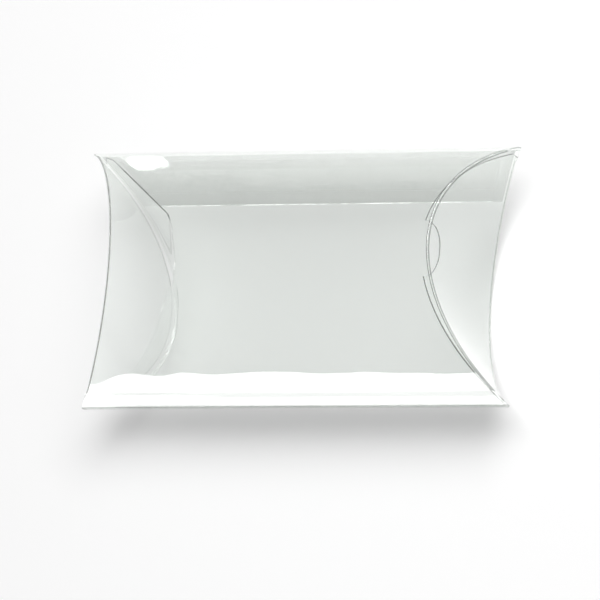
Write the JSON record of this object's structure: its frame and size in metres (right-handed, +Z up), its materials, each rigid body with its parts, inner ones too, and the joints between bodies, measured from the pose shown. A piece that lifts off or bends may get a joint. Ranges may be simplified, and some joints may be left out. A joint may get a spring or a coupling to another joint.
{
  "type": "pillow box",
  "caption": "Clear film pillow box with arched panels, curved end creases and notched tuck flaps, lying closed on its back panel.",
  "frame": {"origin": "on the table, under the middle of the closed box", "axes": "+X along the box to its right end, +Y towards the long fold at the glued lap, +Z up through the front panel"},
  "size_m": [0.1348, 0.07, 0.0352],
  "materials": {
    "clear_film": "clear gloss film",
    "film_crease": "stressed film along a crease",
    "adhesive": "clear adhesive"
  },
  "bodies": {
    "sleeve": {"front_panel": "clear_film", "back_panel": "clear_film", "top_fold": "film_crease", "bottom_fold": "film_crease", "glue_flap": "clear_film", "glue_strip": "adhesive", "right_front_crease": "film_crease", "right_back_crease": "film_crease", "left_front_crease": "film_crease", "left_back_crease": "film_crease"},
    "right_outer_flap": {"right_outer_flap": "clear_film"},
    "right_inner_flap": {"right_inner_flap": "clear_film"},
    "left_outer_flap": {"left_outer_flap": "clear_film"},
    "left_inner_flap": {"left_inner_flap": "clear_film"}
  },
  "joints": [
    {"name": "right_outer_flap_hinge", "type": "hinge", "parent": "sleeve", "child": "right_outer_flap", "pos_m": [0.05065, 0, 0.03518], "axis": [0, -1, 0], "range_deg": [0, 100]},
    {"name": "left_outer_flap_hinge", "type": "hinge", "parent": "sleeve", "child": "left_outer_flap", "pos_m": [-0.05065, 0, 0.03518], "axis": [0, 1, 0], "range_deg": [0, 100]},
    {"name": "right_inner_flap_hinge", "type": "hinge", "parent": "sleeve", "child": "right_inner_flap", "pos_m": [0.04989, 0, 0.00113], "axis": [0, -1, 0], "range_deg": [0, 60]},
    {"name": "left_inner_flap_hinge", "type": "hinge", "parent": "sleeve", "child": "left_inner_flap", "pos_m": [-0.04932, 0, 0.00113], "axis": [0, 1, 0], "range_deg": [0, 30]}
  ]
}
